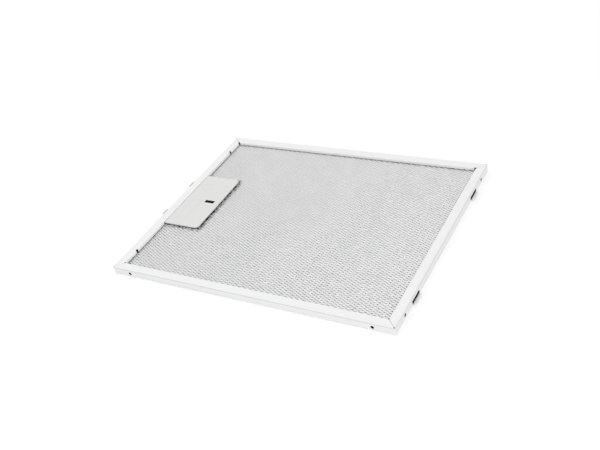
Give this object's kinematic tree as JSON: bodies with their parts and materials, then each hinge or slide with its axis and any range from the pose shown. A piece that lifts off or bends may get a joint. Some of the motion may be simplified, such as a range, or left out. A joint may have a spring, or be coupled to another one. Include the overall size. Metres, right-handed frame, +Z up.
{
  "type": "cooker hood grease filter",
  "caption": "Flat grease filter for a cooker hood: folded aluminium frame round layered expanded mesh, a sprung sliding latch plate on one short side and fixed tongues on the other.",
  "frame": {"origin": "middle of the frame's underside, on the surface it lies on", "axes": "+X along the long sides, away from the latch; +Y along the short sides; +Z up to the side that faces the room"},
  "size_m": [0.3272, 0.252, 0.0085],
  "materials": {
    "frame_aluminium": "satin mill finish",
    "mesh_aluminium": "bright expanded foil",
    "handle_grey": "smooth, light grey",
    "latch_grey": "moulded, mid grey",
    "latch_black": "moulded, black",
    "spring_steel": "bright strip"
  },
  "bodies": {
    "filter": {"frame": "frame_aluminium", "front_mesh": "mesh_aluminium", "inner_mesh_1": "mesh_aluminium", "inner_mesh_2": "mesh_aluminium", "inner_mesh_3": "mesh_aluminium", "rear_mesh": "mesh_aluminium", "latch_tray": "latch_black", "latch_spring_near": "spring_steel", "latch_spring_far": "spring_steel"},
    "latch": {"latch_handle": "handle_grey", "latch_bolt": "latch_grey"}
  },
  "joints": [
    {"name": "latch_slide", "type": "slide", "parent": "filter", "child": "latch", "axis": [1, 0, 0], "range_m": [0, 0.004], "stiffness_N_per_m": 1200, "springref_m": -0.002, "deforming": ["latch_spring_near", "latch_spring_far"]}
  ]
}
